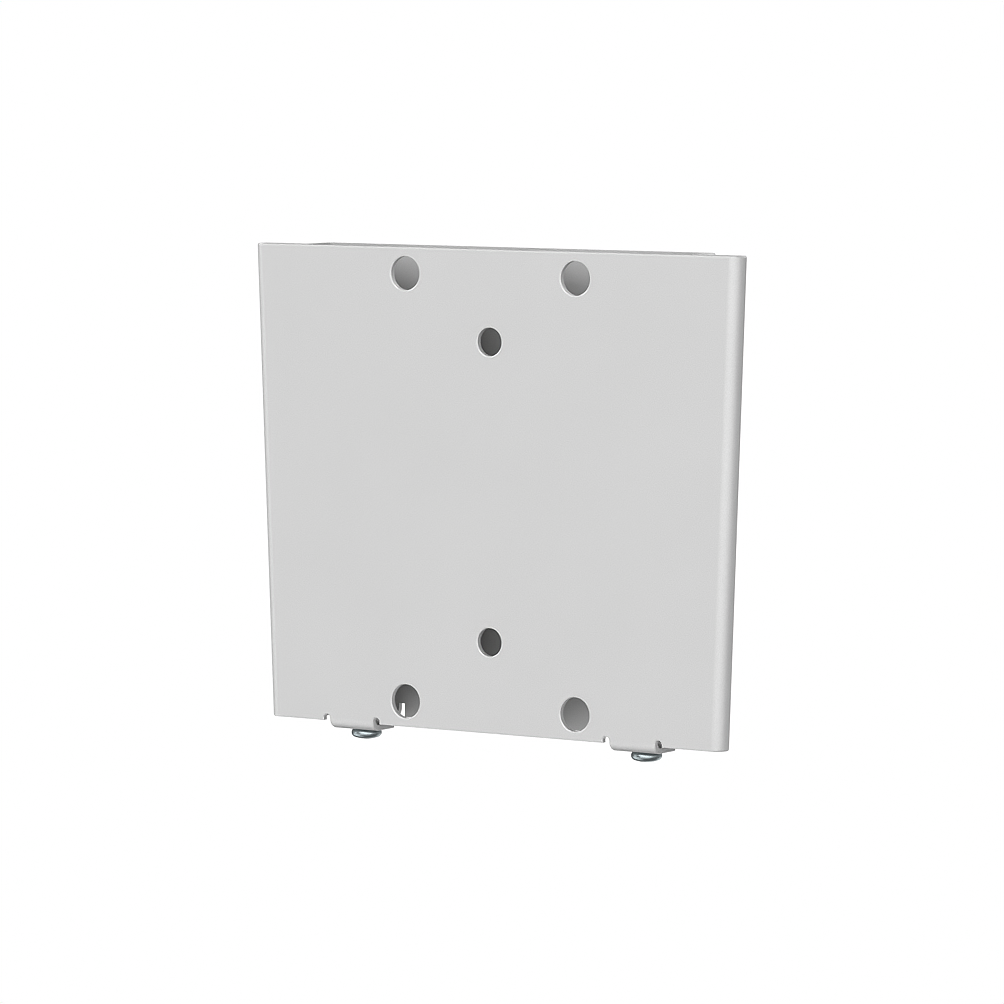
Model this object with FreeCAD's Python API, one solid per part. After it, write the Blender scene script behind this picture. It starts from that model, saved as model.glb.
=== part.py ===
import FreeCAD, Part
import math
import os

# Fixed wall mount for a monitor, in millimetres. +Z is up and the wall face lies in the plane Y = 0.
# The wall plate's sides are folded back into two leaning rails. The monitor plate is a hat section
# whose flanges drop into the rails from above and wedge there. Two screws under the bottom edge lock it.

V = FreeCAD.Vector

# Plates
depth = 14.1
wall_sheet = 1.5
monitor_sheet = 1.5
rail_angle = 2.2
pattern_edge = 12.5  # from a row of the large pattern to the wall plate's edge
monitor_rise = 0.75  # of the monitor plate's bottom edge over the wall plate's
monitor_stand = 0.1  # of the monitor plate's top edge over the wall plate's
edge_break = 0.35
edge_break_depth = 0.17

# Hole pattern for the monitor
pattern_large = 100.0
pattern_small = 75.0
pattern_hole = 4.5
pattern_head = 8.0

# Holes for the wall screws
wall_hole = 8.9
wall_hole_pitch = 52.6
wall_hole_edge = 6.7
centre_hole = 7.4
centre_hole_pitch = 77.6

# Hat section and rails
hat_bend = 0.5
flange = 12.86
rail_lip = 3.15

# Bottom tabs
wall_tab_width = 13.85
monitor_tab_width = 13.1
tab_bend = 1.25
tab_drop = 2.05
tab_corner = 0.8
wall_tab_land = 1.05  # sheet left between the screw hole and the tab's end
monitor_tab_land = 2.2
tab_margin = 1.55
wall_relief = 2.0
monitor_relief = 1.85
relief_rise = 1.15

# Lock screws
thread = 4.0
screw_length = 8.0
tip_chamfer = 0.5
head = 8.0
head_height = 2.95
head_crown = 0.9
head_round = 1.2
head_rim = 0.5
head_rim_height = 1.0
recess_span = 4.4
recess_slot = 1.0
recess_depth = 1.5
recess_root = 0.6

# Clearances
head_side_clearance = 0.05
rail_side_clearance = 0.85
rail_edge_clearance = 0.08
tab_gap = 0.95
screw_hole_clearance = 0.25
thread_clearance = 0.05
screw_seat_clearance = 0.02

# Sizes that follow
z_top = pattern_large / 2 + pattern_edge
z_low = -z_top
monitor_low = z_low + monitor_rise
monitor_top = z_top + monitor_stand
lean = math.tan(math.radians(rail_angle))
stretch = 1 / math.cos(math.radians(rail_angle))
web_front = depth - monitor_sheet

# The channel is just wide enough for the screw heads of the lowest row of the large pattern
pivot_z = -pattern_large / 2
pivot_x = pattern_large / 2 + pattern_head / 2 + head_side_clearance + hat_bend

# Across the leaning edge, counted from the inside of the channel's side wall
flange_edge = monitor_sheet + flange
rail_inner_radius = monitor_sheet / 2 + rail_side_clearance
rail_outer_radius = rail_inner_radius + wall_sheet
rail_reach = math.sqrt((rail_inner_radius - rail_edge_clearance) ** 2 - (monitor_sheet / 2) ** 2)
rail_centre = flange_edge - rail_reach
flange_front = rail_outer_radius - monitor_sheet / 2
flange_back = rail_outer_radius + monitor_sheet / 2

# Tabs and screws
tab_face = z_low - tab_drop
monitor_tab_face = tab_face + wall_sheet + tab_gap
screw_y = (wall_sheet + web_front) / 2
wall_bore = thread + 2 * screw_hole_clearance
monitor_bore = thread + 2 * thread_clearance
wall_tab_end = screw_y + wall_bore / 2 + wall_tab_land
monitor_tab_end = screw_y - monitor_bore / 2 - monitor_tab_land


def leaning_x(across, z):
    """X of a line that runs along the right-hand edge, at the height z."""
    return pivot_x + across * stretch + (z - pivot_z) * lean


tab_side = monitor_tab_width / 2 + monitor_relief + tab_margin + hat_bend
tab_x = leaning_x(0, monitor_low) - tab_side


def arc(start, middle, end):
    return Part.Arc(start, middle, end).toShape()


def line(start, end):
    return Part.LineSegment(start, end).toShape()


def face_of(edges):
    return Part.Face(Part.Wire(edges))


def mirrored(shape):
    return shape.mirror(V(0, 0, 0), V(1, 0, 0))


def web(across, bottom, top, front, sheet):
    """Flat middle of a plate, between two leaning edges."""
    low = leaning_x(across, bottom)
    high = leaning_x(across, top)
    corners = [V(-low, front, bottom), V(low, front, bottom), V(high, front, top), V(-high, front, top)]
    return Part.Face(Part.makePolygon(corners + corners[:1])).extrude(V(0, sheet, 0))


def leaning_fold(profile, bottom, top):
    """Folded edge: a section, drawn across the edge, run along it and cut off level at both ends."""
    run = 2 * (top - bottom)
    fold = profile.extrude(V(0, 0, run))
    fold.translate(V(pivot_x, 0, pivot_z - run / 2))
    fold.rotate(V(pivot_x, 0, pivot_z), V(0, 1, 0), rail_angle)
    width = 2 * leaning_x(flange_edge + rail_outer_radius, top)
    slab = Part.makeBox(width, 4 * depth, top - bottom, V(-width / 2, -2 * depth, bottom))
    return fold.common(slab)


def rail_profile():
    """Hem with room for the flange: the sheet turns right back and ends in a short lip."""
    c = rail_centre
    ro = rail_outer_radius
    ri = rail_inner_radius
    lip = c - rail_lip
    return face_of([
        arc(V(c, 0, 0), V(c + ro, ro, 0), V(c, 2 * ro, 0)),
        line(V(c, 2 * ro, 0), V(lip, 2 * ro, 0)),
        line(V(lip, 2 * ro, 0), V(lip, ro + ri, 0)),
        line(V(lip, ro + ri, 0), V(c, ro + ri, 0)),
        arc(V(c, ro + ri, 0), V(c + ri, ro, 0), V(c, ro - ri, 0)),
        line(V(c, ro - ri, 0), V(c, 0, 0)),
    ])


def hat_profile():
    """Side of the hat: from the web round to the side wall, and out again to the flange."""
    t = monitor_sheet
    ri = hat_bend
    ro = hat_bend + monitor_sheet
    k = math.sqrt(0.5)
    top = web_front - ri
    foot = flange_back + ri
    return face_of([
        arc(V(-ri, web_front, 0), V(-ri + ri * k, top + ri * k, 0), V(0, top, 0)),
        line(V(0, top, 0), V(0, foot, 0)),
        arc(V(0, foot, 0), V(ro - ro * k, foot - ro * k, 0), V(ro, flange_front, 0)),
        line(V(ro, flange_front, 0), V(flange_edge, flange_front, 0)),
        line(V(flange_edge, flange_front, 0), V(flange_edge, flange_back, 0)),
        line(V(flange_edge, flange_back, 0), V(ro, flange_back, 0)),
        arc(V(ro, flange_back, 0), V(ro - ri * k, foot - ri * k, 0), V(t, foot, 0)),
        line(V(t, foot, 0), V(t, top, 0)),
        arc(V(t, top, 0), V(-ri + ro * k, top + ro * k, 0), V(-ri, depth, 0)),
        line(V(-ri, depth, 0), V(-ri, web_front, 0)),
    ])


def tab(centre, width, outside, turn, end, face, sheet, bore):
    """Strip of the web bent square, with rounded corners and a hole for the lock screw.

    outside is the Y of the web's outer face, turn is the way the strip goes along Y.
    """
    ri = tab_bend
    ro = tab_bend + sheet
    k = math.sqrt(0.5)
    reach = abs(end - outside)
    bend = face + ro
    side = centre - width / 2

    def p(u, z):
        return V(side, outside + turn * u, z)

    strip = face_of([
        arc(p(0, bend), p(ro - ro * k, bend - ro * k), p(ro, face)),
        line(p(ro, face), p(reach, face)),
        line(p(reach, face), p(reach, face + sheet)),
        line(p(reach, face + sheet), p(ro, face + sheet)),
        arc(p(ro, face + sheet), p(ro - ri * k, bend - ri * k), p(sheet, bend)),
        line(p(sheet, bend), p(0, bend)),
    ]).extrude(V(width, 0, 0))
    corners = []
    for edge in strip.Edges:
        box = edge.BoundBox
        if box.XLength < 1e-6 and box.YLength < 1e-6 and abs(box.YMin - end) < 1e-6:
            corners.append(edge)
    strip = strip.makeFillet(tab_corner, corners)
    hole = Part.makeCylinder(bore / 2, 3 * sheet, V(centre, screw_y, face - sheet))
    return strip.cut(hole)


def tab_opening(centre, width, relief, front, face, sheet, bottom, rise, rounded):
    """What the bent strip leaves in the web: its own width, with a relief on each side.

    rise is how far the straight part of a relief runs past the bend, and rounded gives it a round end.
    """
    bend = face + tab_bend + sheet
    low = bottom - sheet
    start = front - sheet
    r = relief / 2
    gap = Part.makeBox(width, 3 * sheet, bend - low, V(centre - width / 2, start, low))
    for x in (centre - width / 2 - r, centre + width / 2 + r):
        gap = gap.fuse(Part.makeBox(relief, 3 * sheet, bend + rise - low, V(x - r, start, low)))
        if rounded:
            gap = gap.fuse(Part.makeCylinder(r, 3 * sheet, V(x, start, bend + rise), V(0, 1, 0)))
    return gap


def holes(points, diameter, front, sheet):
    """Round holes straight through a web."""
    made = []
    for x, z in points:
        made.append(Part.makeCylinder(diameter / 2, 3 * sheet, V(x, front - sheet, z), V(0, 1, 0)))
    return made


def corners_of(x, z):
    return [(-x, -z), (x, -z), (x, z), (-x, z)]


def turn_at(solid, edge):
    """Angle between the two faces that meet at an edge, in degrees."""
    middle = edge.valueAt((edge.FirstParameter + edge.LastParameter) / 2)
    normals = []
    for face in solid.ancestorsOfType(edge, Part.Face):
        u, v = face.Surface.parameter(middle)
        normals.append(face.normalAt(u, v))
    return math.degrees(normals[0].getAngle(normals[-1]))


def outer_skin(solid, outer):
    """Faces that run on smoothly from the flat face in the plane Y = outer."""
    skin = []
    for face in solid.Faces:
        if face.BoundBox.YLength < 1e-6 and abs(face.BoundBox.YMin - outer) < 1e-6:
            skin.append(face)
    for face in skin:
        for edge in face.Edges:
            if turn_at(solid, edge) < 45:
                for other in solid.ancestorsOfType(edge, Part.Face):
                    if not any(other.isSame(known) for known in skin):
                        skin.append(other)
    return skin


def with_broken_edges(plate, outer):
    """Takes the sharpness off the outer side's edges and hole rims, where the sheet was cut.

    The outer side's faces come first in the solid, so that the wide leg of each bevel lies on them.
    """
    skin = outer_skin(plate, outer)
    rest = []
    for face in plate.Faces:
        if not any(face.isSame(known) for known in skin):
            rest.append(face)
    picked = []
    for face in skin:
        for edge in face.Edges:
            if turn_at(plate, edge) > 45:
                picked.append(edge)
    return Part.Solid(Part.Shell(skin + rest)).makeChamfer(edge_break, edge_break_depth, picked)


def wall_plate():
    rail = leaning_fold(rail_profile(), z_low, z_top)
    plate = web(rail_centre, z_low, z_top, 0, wall_sheet)
    plate = plate.fuse([rail, mirrored(rail)])
    cuts = holes(corners_of(wall_hole_pitch / 2, z_top - wall_hole_edge), wall_hole, 0, wall_sheet)
    cuts += holes([(0, -centre_hole_pitch / 2), (0, centre_hole_pitch / 2)], centre_hole, 0, wall_sheet)
    tabs = []
    for x in (-tab_x, tab_x):
        cuts.append(tab_opening(x, wall_tab_width, wall_relief, 0, tab_face, wall_sheet, z_low, 0, True))
        tabs.append(tab(x, wall_tab_width, 0, 1, wall_tab_end, tab_face, wall_sheet, wall_bore))
    plate = plate.cut(cuts).fuse(tabs).removeSplitter()
    return with_broken_edges(plate, 0)


def monitor_plate():
    side = leaning_fold(hat_profile(), monitor_low, monitor_top)
    plate = web(-hat_bend, monitor_low, monitor_top, web_front, monitor_sheet)
    plate = plate.fuse([side, mirrored(side)])
    cuts = []
    for pitch in (pattern_large, pattern_small):
        cuts += holes(corners_of(pitch / 2, pitch / 2), pattern_hole, web_front, monitor_sheet)
    tabs = []
    for x in (-tab_x, tab_x):
        cuts.append(tab_opening(x, monitor_tab_width, monitor_relief, web_front, monitor_tab_face, monitor_sheet,
                                monitor_low, relief_rise, False))
        tabs.append(tab(x, monitor_tab_width, depth, -1, monitor_tab_end, monitor_tab_face, monitor_sheet,
                        monitor_bore))
    plate = plate.cut(cuts).fuse(tabs).removeSplitter()
    return with_broken_edges(plate, depth)


def lock_screw(x):
    """Pan-head machine screw, head down, with a cross recess."""
    shank = thread / 2
    r = head / 2
    crown = (r ** 2 + head_crown ** 2) / (2 * head_crown)
    crown_z = crown - head_height
    round_x = r - head_round
    round_z = crown_z - math.sqrt((crown - head_round) ** 2 - round_x ** 2)
    meet = math.atan2(round_z - crown_z, round_x)

    def on_round(angle):
        return V(round_x + head_round * math.cos(angle), 0, round_z + head_round * math.sin(angle))

    def on_crown(angle):
        return V(crown * math.cos(angle), 0, crown_z + crown * math.sin(angle))

    bottom = -math.pi / 2
    body = face_of([
        line(V(0, 0, screw_length), V(shank - tip_chamfer, 0, screw_length)),
        line(V(shank - tip_chamfer, 0, screw_length), V(shank, 0, screw_length - tip_chamfer)),
        line(V(shank, 0, screw_length - tip_chamfer), V(shank, 0, 0)),
        line(V(shank, 0, 0), V(r - head_rim, 0, 0)),
        line(V(r - head_rim, 0, 0), V(r, 0, -head_rim_height)),
        line(V(r, 0, -head_rim_height), on_round(0)),
        arc(on_round(0), on_round(meet / 2), on_round(meet)),
        arc(on_round(meet), on_crown((meet + bottom) / 2), on_crown(bottom)),
        line(on_crown(bottom), V(0, 0, screw_length)),
    ]).revolve(V(0, 0, 0), V(0, 0, 1), 360)
    for way in (0, 90):
        outline = Part.makePolygon([
            V(-recess_root, 0, -head_height + recess_depth),
            V(recess_root, 0, -head_height + recess_depth),
            V(recess_span / 2, 0, -head_height - recess_slot),
            V(-recess_span / 2, 0, -head_height - recess_slot),
            V(-recess_root, 0, -head_height + recess_depth),
        ])
        blade = Part.Face(outline).extrude(V(0, recess_slot, 0))
        blade.translate(V(0, -recess_slot / 2, 0))
        blade.rotate(V(0, 0, 0), V(0, 0, 1), way)
        body = body.cut(blade)
    body.translate(V(x, screw_y, tab_face - screw_seat_clearance))
    return body


parts = {
    "wall_plate": wall_plate(),
    "monitor_plate": monitor_plate(),
    "lock_screw_left": lock_screw(-tab_x),
    "lock_screw_right": lock_screw(tab_x),
}

os.makedirs("parts", exist_ok=True)
for name, shape in parts.items():
    solid = shape.Solids[0]
    solid.exportStep("parts/" + name + ".step")
    box = solid.BoundBox
    print(name, "solids", len(shape.Solids), "valid", solid.isValid(), "volume", round(solid.Volume, 1),
          "box", [round(v, 2) for v in (box.XMin, box.XMax, box.YMin, box.YMax, box.ZMin, box.ZMax)])
print("tab centre", round(tab_x, 3), "screw axis y", round(screw_y, 3))
print("width over the rails: top", round(2 * leaning_x(rail_centre + rail_outer_radius, z_top), 3),
      "bottom", round(2 * leaning_x(rail_centre + rail_outer_radius, z_low), 3))
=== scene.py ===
import math

import bmesh
import bpy
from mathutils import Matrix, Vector


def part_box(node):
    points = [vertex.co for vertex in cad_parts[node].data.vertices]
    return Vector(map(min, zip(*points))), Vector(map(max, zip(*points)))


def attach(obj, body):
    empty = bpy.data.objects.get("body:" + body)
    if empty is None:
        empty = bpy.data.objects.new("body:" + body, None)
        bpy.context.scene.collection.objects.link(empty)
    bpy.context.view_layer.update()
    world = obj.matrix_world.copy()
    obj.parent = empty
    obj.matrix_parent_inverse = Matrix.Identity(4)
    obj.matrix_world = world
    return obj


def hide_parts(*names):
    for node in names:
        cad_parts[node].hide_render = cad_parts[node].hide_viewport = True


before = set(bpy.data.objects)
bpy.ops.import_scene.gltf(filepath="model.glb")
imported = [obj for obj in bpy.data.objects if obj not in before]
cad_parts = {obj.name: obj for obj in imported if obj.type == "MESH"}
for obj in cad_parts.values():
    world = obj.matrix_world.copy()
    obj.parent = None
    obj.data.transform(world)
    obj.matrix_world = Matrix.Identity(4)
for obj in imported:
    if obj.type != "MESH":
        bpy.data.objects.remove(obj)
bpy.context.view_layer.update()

MM = 0.001

# View of the photograph: a long lens, turned to the right of the plate and a little above it
VIEW_AZIMUTH = 33.790
VIEW_ELEVATION = 4.801
VIEW_DISTANCE = 1.52978
VIEW_TARGET = Vector((3.958, 0.0, -2.271)) * MM
LENS = 213.35
SENSOR = 36.0
CLIP_END = 50.0
DISPLAY_GAMMA = 2.2
SHARPENING = 0.3

# Studio, in metres: a closed white cove round the mount, with its floor well below
FLOOR_Z = -2.6
COVE_RADIUS = 3.0
COVE_BEND = 1.0
COVE_HEIGHT = 4.0
COVE_POLE = 0.001
COVE_SIDES = 64
COVE_BEND_STEPS = 12

# Dim light from all round, brighter from behind
SKY_SPAN = (0.3, 0.8)
SKY_LEVELS = (0.21, 0.40)

# Softboxes: name, azimuth, elevation, brightness
SOFTBOX_SIZE = 1.18
SOFTBOX_DISTANCE = 2.2
SOFTBOXES = (
    ("key_left", 0, 0, 1.60),
    ("key", 30, 0, 2.15),
    ("key_right", 60, 0, 1.94),
    ("high_left", -15, 30, 2.64),
    ("high", 15, 30, 2.64),
    ("high_right", 45, 30, 2.03),
    ("low_far_left", -45, -30, 1.00),
    ("low_left", -15, -30, 0.48),
    ("low", 15, -30, 0.48),
    ("low_right", 45, -30, 0.48),
    ("side_left", -60, 0, 1.01),
    ("side_left_high", -75, 30, 3.22),
    ("side_left_low", -75, -30, 1.20),
    ("side_right", 90, 0, 0.55),
    ("under_left", -60, -60, 0.80),
    ("top", -60, 60, 0.50),
    ("top_back_left", -120, 60, 1.57),
    ("top_back", 180, 60, 1.30),
    ("back_high", 165, 30, 3.40),
    ("back_low_left", -165, -30, 0.60),
    ("back_low_right", 165, -30, 0.60),
)

# Powder coat: sizes of grain, orange peel, clouds and softened edges in millimetres
GRAIN = 0.28
PEEL = 1.6
CLOUD = 28.0
GRAIN_BUMP = 0.012
PEEL_BUMP = 0.02
EDGE_SOFTNESS = 0.12
EDGE_SAMPLES = 6
NOISE_SPAN = (0.3, 0.7)
CLOUD_SPAN = (0.35, 0.65)
PAINT_TONES = (0.449, 0.511)
PAINT_DRIFT = (0.985, 1.0)
PAINT_ROUGHNESS = (0.32, 0.38)
PAINT_IOR = 1.65
PAINT_SPECULAR = 0.9

# Zinc plating: sizes of tint patches and wiping marks in millimetres
PATCH = 2.2
WIPING = 0.12
WIPING_BUMP = 0.006
ZINC_TINTS = (
    (0.30, (0.335, 0.385, 0.40)),
    (0.55, (0.37, 0.42, 0.435)),
    (0.80, (0.41, 0.43, 0.425)),
)
ZINC_ROUGHNESS = (0.28, 0.35)

# Lock screw, in millimetres, M4 by 8 with a pan head
THREAD = 4.0
THREAD_PITCH = 0.7
THREAD_DEPTH = 0.43
THREAD_CREST = 1 / 16
THREAD_ROOT = 3 / 8
SCREW_LENGTH = 8.0
TIP_CHAMFER = 0.5
HEAD = 8.0
HEAD_HEIGHT = 2.95
HEAD_CROWN = 0.9
HEAD_ROUND = 1.2
HEAD_RIM = 1.2
NECK_RADIUS = 1.75
RECESS_SPAN = 4.4
RECESS_SLOT = 1.0
RECESS_FLOOR_SLOT = 0.7
RECESS_DEPTH = 1.5
RECESS_ROOT = 1.2
RECESS_CORNER = 0.35
SCREW_SIDES = 72
ROWS_PER_PITCH = 12
HEAD_STEPS = 12
CORNER_STEPS = 4
SHARP_ANGLE = 32


def toward(azimuth, elevation):
    """Unit vector from the object to a viewer. Azimuth 0 faces the wall side, and 90 is to the right."""
    a = math.radians(azimuth)
    e = math.radians(elevation)
    return Vector((math.sin(a) * math.cos(e), -math.cos(a) * math.cos(e), math.sin(e)))


def new_object(name, data):
    obj = bpy.data.objects.new(name, data)
    bpy.context.scene.collection.objects.link(obj)
    return obj


def arc_points(centre, radius, start, end, count):
    """Points on an arc from one angle to another, in degrees, both ends included."""
    points = []
    for i in range(count + 1):
        angle = math.radians(start + (end - start) * i / count)
        points.append((centre[0] + radius * math.cos(angle), centre[1] + radius * math.sin(angle)))
    return points


# Materials

def new_material(name):
    material = bpy.data.materials.new(name)
    material.use_nodes = True
    tree = material.node_tree
    shader = tree.nodes["Principled BSDF"]
    place = tree.nodes.new("ShaderNodeTexCoord").outputs["Object"]
    return material, tree, shader, place


def noise(tree, place, size, detail):
    """Noise whose grains are about size millimetres across."""
    node = tree.nodes.new("ShaderNodeTexNoise")
    node.inputs["Scale"].default_value = 1 / (size * MM)
    node.inputs["Detail"].default_value = detail
    tree.links.new(place, node.inputs["Vector"])
    return node.outputs["Fac"]


def ramp(tree, value, stops):
    """Colours along a value from 0 to 1."""
    node = tree.nodes.new("ShaderNodeValToRGB")
    elements = node.color_ramp.elements
    while len(elements) < len(stops):
        elements.new(0.5)
    for element, (position, colour) in zip(elements, stops):
        element.position = position
        element.color = (*colour, 1.0)
    tree.links.new(value, node.inputs["Fac"])
    return node.outputs["Color"]


def grey_ramp(tree, value, span, levels):
    """Greys from one level to another while a value crosses a span."""
    return ramp(tree, value, [(at, (level, level, level)) for at, level in zip(span, levels)])


def bump(tree, height, strength, distance, normal=None):
    """Normal tilted by a height whose full range is distance millimetres."""
    node = tree.nodes.new("ShaderNodeBump")
    node.inputs["Strength"].default_value = strength
    node.inputs["Distance"].default_value = distance * MM
    tree.links.new(height, node.inputs["Height"])
    if normal is not None:
        tree.links.new(normal, node.inputs["Normal"])
    return node.outputs["Normal"]


def powder_coat():
    """Silver-grey powder coat: an even colour, a fine grain and a slight orange peel."""
    material, tree, shader, place = new_material("silver_powder_coat")
    links = tree.links
    grain = noise(tree, place, GRAIN, detail=3.0)
    peel = noise(tree, place, PEEL, detail=1.0)
    cloud = noise(tree, place, CLOUD, detail=2.0)
    mix = tree.nodes.new("ShaderNodeMix")
    mix.data_type = "RGBA"
    mix.blend_type = "MULTIPLY"
    mix.inputs["Factor"].default_value = 1.0
    links.new(grey_ramp(tree, grain, NOISE_SPAN, PAINT_TONES), mix.inputs["A"])
    links.new(grey_ramp(tree, cloud, CLOUD_SPAN, PAINT_DRIFT), mix.inputs["B"])
    links.new(mix.outputs["Result"], shader.inputs["Base Color"])
    links.new(grey_ramp(tree, grain, NOISE_SPAN, PAINT_ROUGHNESS), shader.inputs["Roughness"])
    shader.inputs["IOR"].default_value = PAINT_IOR
    shader.inputs["Specular IOR Level"].default_value = PAINT_SPECULAR
    soft = tree.nodes.new("ShaderNodeBevel")
    soft.samples = EDGE_SAMPLES
    soft.inputs["Radius"].default_value = EDGE_SOFTNESS * MM
    coarse = bump(tree, peel, 0.25, PEEL_BUMP, soft.outputs["Normal"])
    links.new(bump(tree, grain, 0.35, GRAIN_BUMP, coarse), shader.inputs["Normal"])
    return material


def bright_zinc():
    """Bright zinc plating with a cold blue tint, faint straw patches and fine wiping marks."""
    material, tree, shader, place = new_material("blue_bright_zinc")
    links = tree.links
    patch = noise(tree, place, PATCH, detail=3.0)
    fine = noise(tree, place, WIPING, detail=2.0)
    links.new(ramp(tree, patch, ZINC_TINTS), shader.inputs["Base Color"])
    links.new(grey_ramp(tree, patch, NOISE_SPAN, ZINC_ROUGHNESS), shader.inputs["Roughness"])
    shader.inputs["Metallic"].default_value = 1.0
    links.new(bump(tree, fine, 0.15, WIPING_BUMP), shader.inputs["Normal"])
    return material


def dress_plates(material):
    for node in ("wall_plate", "monitor_plate"):
        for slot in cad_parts[node].material_slots:
            slot.material = material


# Lock screws

def thread_radius(z, turn):
    """Radius of the thread at a height above the head and a share of a turn."""
    share = (z / THREAD_PITCH - turn) % 1.0
    away = abs(share - 0.5)
    fall = min(max((away - THREAD_CREST) / (THREAD_ROOT - THREAD_CREST), 0.0), 1.0)
    radius = THREAD / 2 - fall * THREAD_DEPTH
    run_out = min(z / THREAD_PITCH, 1.0)
    radius = NECK_RADIUS + (radius - NECK_RADIUS) * run_out
    tip = THREAD / 2 - TIP_CHAMFER + (SCREW_LENGTH - z)
    return min(radius, tip)


def head_profile():
    """Outline of the pan head from the neck over the bearing face and the side to the crown."""
    r = HEAD / 2
    crown = (r ** 2 + HEAD_CROWN ** 2) / (2 * HEAD_CROWN)
    crown_z = crown - HEAD_HEIGHT
    round_r = r - HEAD_ROUND
    reach = crown - HEAD_ROUND
    round_z = crown_z - math.sqrt(reach ** 2 - round_r ** 2)
    meet = math.degrees(math.atan2(round_z - crown_z, round_r))
    points = [(NECK_RADIUS + (r - HEAD_RIM - NECK_RADIUS) / 2, 0.0)]
    rim = [(x, -y * round_z) for x, y in arc_points((0, 0), 1, 90, 0, HEAD_STEPS)]
    points += [(r - HEAD_RIM + HEAD_RIM * x, round_z + y) for x, y in rim]
    points += arc_points((round_r, round_z), HEAD_ROUND, 0, meet, HEAD_STEPS)[1:]
    points += arc_points((0, crown_z), crown, meet, -90, HEAD_STEPS)[1:-1]
    return points


def screw_body():
    """Whole screw as one closed skin: tip, thread, neck and head."""
    mesh = bmesh.new()
    rings = []

    def ring(radius_at, z):
        made = []
        for i in range(SCREW_SIDES):
            turn = i / SCREW_SIDES
            radius = radius_at(turn)
            angle = 2 * math.pi * turn
            corner = (radius * math.cos(angle) * MM, radius * math.sin(angle) * MM, z * MM)
            made.append(mesh.verts.new(corner))
        rings.append(made)

    rows = round(SCREW_LENGTH / THREAD_PITCH * ROWS_PER_PITCH)
    for row in range(rows, -1, -1):
        z = SCREW_LENGTH * row / rows
        ring(lambda turn: thread_radius(z, turn), z)
    for radius, z in head_profile():
        ring(lambda turn: radius, z)
    for upper, lower in zip(rings, rings[1:]):
        for i in range(SCREW_SIDES):
            j = (i + 1) % SCREW_SIDES
            mesh.faces.new((upper[i], lower[i], lower[j], upper[j]))
    for edge, z, flip in ((rings[0], SCREW_LENGTH, False), (rings[-1], -HEAD_HEIGHT, True)):
        pole = mesh.verts.new((0, 0, z * MM))
        for i in range(SCREW_SIDES):
            j = (i + 1) % SCREW_SIDES
            corners = (edge[i], edge[j], pole)
            mesh.faces.new(corners[::-1] if flip else corners)
    return finished_mesh("screw_body", mesh)


def cross_outline(span, slot):
    """Outline of a cross with rounded inner corners."""
    a = span / 2
    b = slot / 2
    inner = b + RECESS_CORNER
    arm = [(a, -b), (a, b)]
    arm += arc_points((inner, inner), RECESS_CORNER, 270, 180, CORNER_STEPS)
    points = []
    for quarter in range(4):
        turn = math.radians(90 * quarter)
        cos = math.cos(turn)
        sin = math.sin(turn)
        points += [(x * cos - y * sin, x * sin + y * cos) for x, y in arm]
    return points


def recess_cutter():
    """Tapered cross that is cut out of the head."""
    mesh = bmesh.new()
    levels = (
        (-HEAD_HEIGHT + RECESS_DEPTH, RECESS_ROOT + 2 * RECESS_CORNER, RECESS_FLOOR_SLOT),
        (-HEAD_HEIGHT, RECESS_SPAN, RECESS_SLOT),
        (-HEAD_HEIGHT - RECESS_DEPTH, RECESS_SPAN + 2 * RECESS_CORNER, RECESS_SLOT),
    )
    rings = []
    for z, span, slot in levels:
        outline = cross_outline(span, slot)
        rings.append([mesh.verts.new((x * MM, y * MM, z * MM)) for x, y in outline])
    for upper, lower in zip(rings, rings[1:]):
        for i in range(len(upper)):
            j = (i + 1) % len(upper)
            mesh.faces.new((upper[i], upper[j], lower[j], lower[i]))
    mesh.faces.new(rings[0])
    mesh.faces.new(rings[-1])
    return finished_mesh("recess_cutter", mesh)


def finished_mesh(name, mesh):
    """Mesh data with its faces turned outwards."""
    bmesh.ops.recalc_face_normals(mesh, faces=mesh.faces)
    made = bpy.data.meshes.new(name)
    mesh.to_mesh(made)
    mesh.free()
    return made


def smooth_with_sharp_edges(mesh, angle):
    """Smooth shading that breaks where two faces meet at more than an angle, in degrees."""
    work = bmesh.new()
    work.from_mesh(mesh)
    for face in work.faces:
        face.smooth = True
    for edge in work.edges:
        edge.smooth = edge.calc_face_angle(0.0) < math.radians(angle)
    work.to_mesh(mesh)
    work.free()


def screw_mesh():
    """Screw body with the cross recess cut into its head."""
    body = new_object("screw_blank", screw_body())
    cutter = new_object("screw_recess", recess_cutter())
    cut = body.modifiers.new("recess", "BOOLEAN")
    cut.operation = "DIFFERENCE"
    cut.solver = "EXACT"
    cut.object = cutter
    view = bpy.context.evaluated_depsgraph_get()
    mesh = bpy.data.meshes.new_from_object(body.evaluated_get(view))
    for blank in (body, cutter):
        bpy.data.objects.remove(blank)
    smooth_with_sharp_edges(mesh, SHARP_ANGLE)
    return mesh


def lock_screws(material):
    """One screw mesh at both screws' places, with its head's underside on the tab."""
    mesh = screw_mesh()
    mesh.materials.clear()
    mesh.materials.append(material)
    for side in ("left", "right"):
        node = "lock_screw_" + side
        low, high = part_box(node)
        piece = new_object(node + "_threaded", mesh)
        piece.location = ((low[0] + high[0]) / 2, (low[1] + high[1]) / 2, low[2] + HEAD_HEIGHT * MM)
        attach(piece, side + "_screw")
        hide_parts(node)


# Studio

def studio_white():
    """White that looks the same from every side and is lit by nothing."""
    material = bpy.data.materials.new("studio_white")
    material.use_nodes = True
    shader = material.node_tree.nodes["Principled BSDF"]
    shader.inputs["Base Color"].default_value = (0.0, 0.0, 0.0, 1.0)
    shader.inputs["Specular IOR Level"].default_value = 0.0
    shader.inputs["Emission Color"].default_value = (1.0, 1.0, 1.0, 1.0)
    shader.inputs["Emission Strength"].default_value = 1.0
    return material


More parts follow.
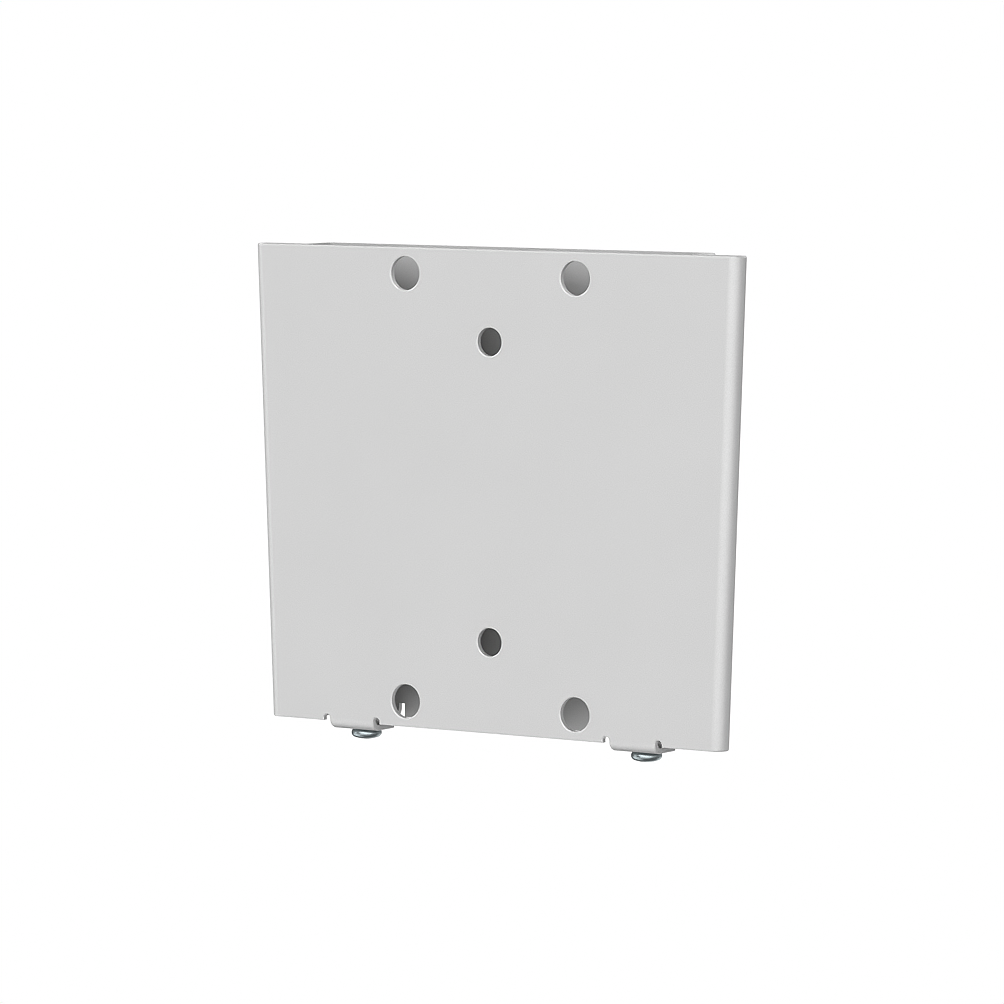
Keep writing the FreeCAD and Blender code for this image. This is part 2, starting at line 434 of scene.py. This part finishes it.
def cove():
    """White floor that curves up all round into a wall, with a flat ceiling."""
    wall = COVE_RADIUS + COVE_BEND
    profile = [(COVE_POLE, FLOOR_Z), (COVE_RADIUS, FLOOR_Z)]
    profile += arc_points((COVE_RADIUS, FLOOR_Z + COVE_BEND), COVE_BEND, -90, 0, COVE_BEND_STEPS)[1:]
    profile += [(wall, COVE_HEIGHT), (COVE_POLE, COVE_HEIGHT)]
    verts = []
    for radius, z in profile:
        for i in range(COVE_SIDES):
            angle = 2 * math.pi * i / COVE_SIDES
            verts.append((radius * math.cos(angle), radius * math.sin(angle), z))
    faces = []
    for row in range(len(profile) - 1):
        a = row * COVE_SIDES
        b = a + COVE_SIDES
        for i in range(COVE_SIDES):
            j = (i + 1) % COVE_SIDES
            faces.append((a + i, a + j, b + j, b + i))
    mesh = bpy.data.meshes.new("studio_cove")
    mesh.from_pydata(verts, [], faces)
    mesh.materials.append(studio_white())
    obj = new_object("studio_cove", mesh)
    obj.visible_diffuse = False
    obj.visible_glossy = False
    obj.visible_shadow = False


def softbox(name, azimuth, elevation, radiance):
    light = bpy.data.lights.new(name, "AREA")
    light.shape = "SQUARE"
    light.size = SOFTBOX_SIZE
    light.energy = radiance * math.pi * SOFTBOX_SIZE ** 2
    obj = new_object(name, light)
    way = toward(azimuth, elevation)
    obj.location = way * SOFTBOX_DISTANCE
    obj.rotation_euler = way.to_track_quat("Z", "Y").to_euler()
    obj.visible_camera = False


def studio_light():
    world = bpy.data.worlds.new("studio")
    bpy.context.scene.world = world
    world.use_nodes = True
    tree = world.node_tree
    sky = tree.nodes["Background"]
    way = tree.nodes.new("ShaderNodeTexCoord").outputs["Generated"]
    parts = tree.nodes.new("ShaderNodeSeparateXYZ")
    tree.links.new(way, parts.inputs["Vector"])
    shade = grey_ramp(tree, parts.outputs["Y"], SKY_SPAN, SKY_LEVELS)
    tree.links.new(shade, sky.inputs["Color"])
    sky.inputs["Strength"].default_value = 1.0
    for name, azimuth, elevation, radiance in SOFTBOXES:
        softbox(name, azimuth, elevation, radiance)


def camera():
    data = bpy.data.cameras.new("photo_view")
    data.lens = LENS
    data.sensor_width = SENSOR
    data.sensor_fit = "HORIZONTAL"
    data.clip_end = CLIP_END
    obj = new_object("photo_view", data)
    way = toward(VIEW_AZIMUTH, VIEW_ELEVATION)
    obj.location = VIEW_TARGET + way * VIEW_DISTANCE
    obj.rotation_euler = way.to_track_quat("Z", "Y").to_euler()
    bpy.context.scene.camera = obj


def print_finish():
    """Plain colours and the light sharpening that a catalogue picture gets, done on display values."""
    scene = bpy.context.scene
    scene.view_settings.view_transform = "Standard"
    scene.use_nodes = True
    tree = scene.node_tree
    tree.nodes.clear()

    def after(picture, kind, socket, setting):
        node = tree.nodes.new(kind)
        node.inputs[socket].default_value = setting
        tree.links.new(picture, node.inputs["Image"])
        return node

    render = tree.nodes.new("CompositorNodeRLayers")
    display = after(render.outputs["Image"], "CompositorNodeGamma", "Gamma", 1 / DISPLAY_GAMMA)
    sharp = after(display.outputs["Image"], "CompositorNodeFilter", "Fac", SHARPENING)
    sharp.filter_type = "SHARPEN_DIAMOND"
    linear = after(sharp.outputs["Image"], "CompositorNodeGamma", "Gamma", DISPLAY_GAMMA)
    result = tree.nodes.new("CompositorNodeComposite")
    tree.links.new(linear.outputs["Image"], result.inputs["Image"])


dress_plates(powder_coat())
lock_screws(bright_zinc())
cove()
studio_light()
camera()
print_finish()
